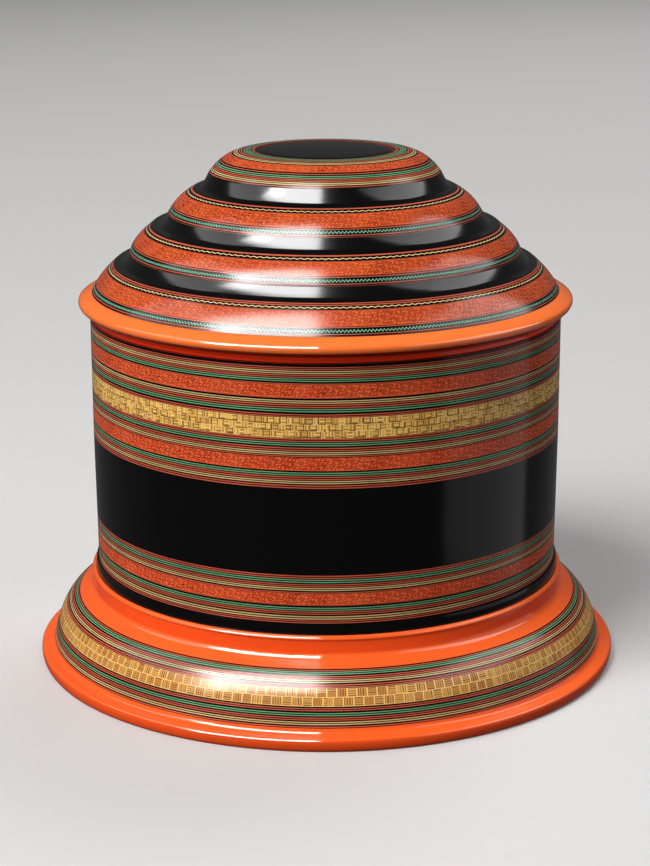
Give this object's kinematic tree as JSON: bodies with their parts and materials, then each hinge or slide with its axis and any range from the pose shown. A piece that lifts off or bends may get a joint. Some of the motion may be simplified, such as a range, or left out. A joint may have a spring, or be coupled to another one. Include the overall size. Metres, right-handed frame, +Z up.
{
  "type": "betel box",
  "caption": "Round lacquered betel box with a flared foot, straight banded wall, inner neck collar, stacked lift-out trays and a stepped dome lid with a rounded flange.",
  "frame": {"origin": "middle of the ring on the floor that the foot stands on", "axes": "+Z up along the turning axis; X and Y are any two directions across, as the object is round"},
  "size_m": [0.3008, 0.3008, 0.263],
  "materials": {
    "orange_lacquer": "glossy orange lacquer over coiled bamboo",
    "engraved_lacquer": "glossy black lacquer engraved with fine red, green and yellow lines",
    "black_lacquer": "glossy black lacquer",
    "red_lacquer": "satin red lacquer"
  },
  "bodies": {
    "box": {"foot_rim_hoop": "orange_lacquer", "foot_skirt": "engraved_lacquer", "base_hoop": "black_lacquer", "box_wall": "engraved_lacquer", "box_floor": "red_lacquer", "neck_collar": "red_lacquer", "tray_ledge": "red_lacquer"},
    "lower_tray": {"lower_tray_wall": "red_lacquer", "lower_tray_floor": "red_lacquer"},
    "upper_tray": {"upper_tray_wall": "red_lacquer", "upper_tray_floor": "red_lacquer"},
    "lid": {"lid_top_disc": "black_lacquer", "lid_tier_1": "engraved_lacquer", "lid_tier_2": "engraved_lacquer", "lid_tier_3": "engraved_lacquer", "lid_tier_4": "engraved_lacquer", "lid_flange": "orange_lacquer", "lid_inner_hoop": "red_lacquer"}
  },
  "joints": [
    {"name": "lower_tray_lift", "type": "slide", "parent": "box", "child": "lower_tray", "axis": [0, 0, 1], "range_m": [0, 0.1]},
    {"name": "upper_tray_lift", "type": "slide", "parent": "lower_tray", "child": "upper_tray", "axis": [0, 0, 1], "range_m": [0, 0.08]},
    {"name": "lid_lift", "type": "slide", "parent": "upper_tray", "child": "lid", "axis": [0, 0, 1], "range_m": [0, 0.15]}
  ]
}
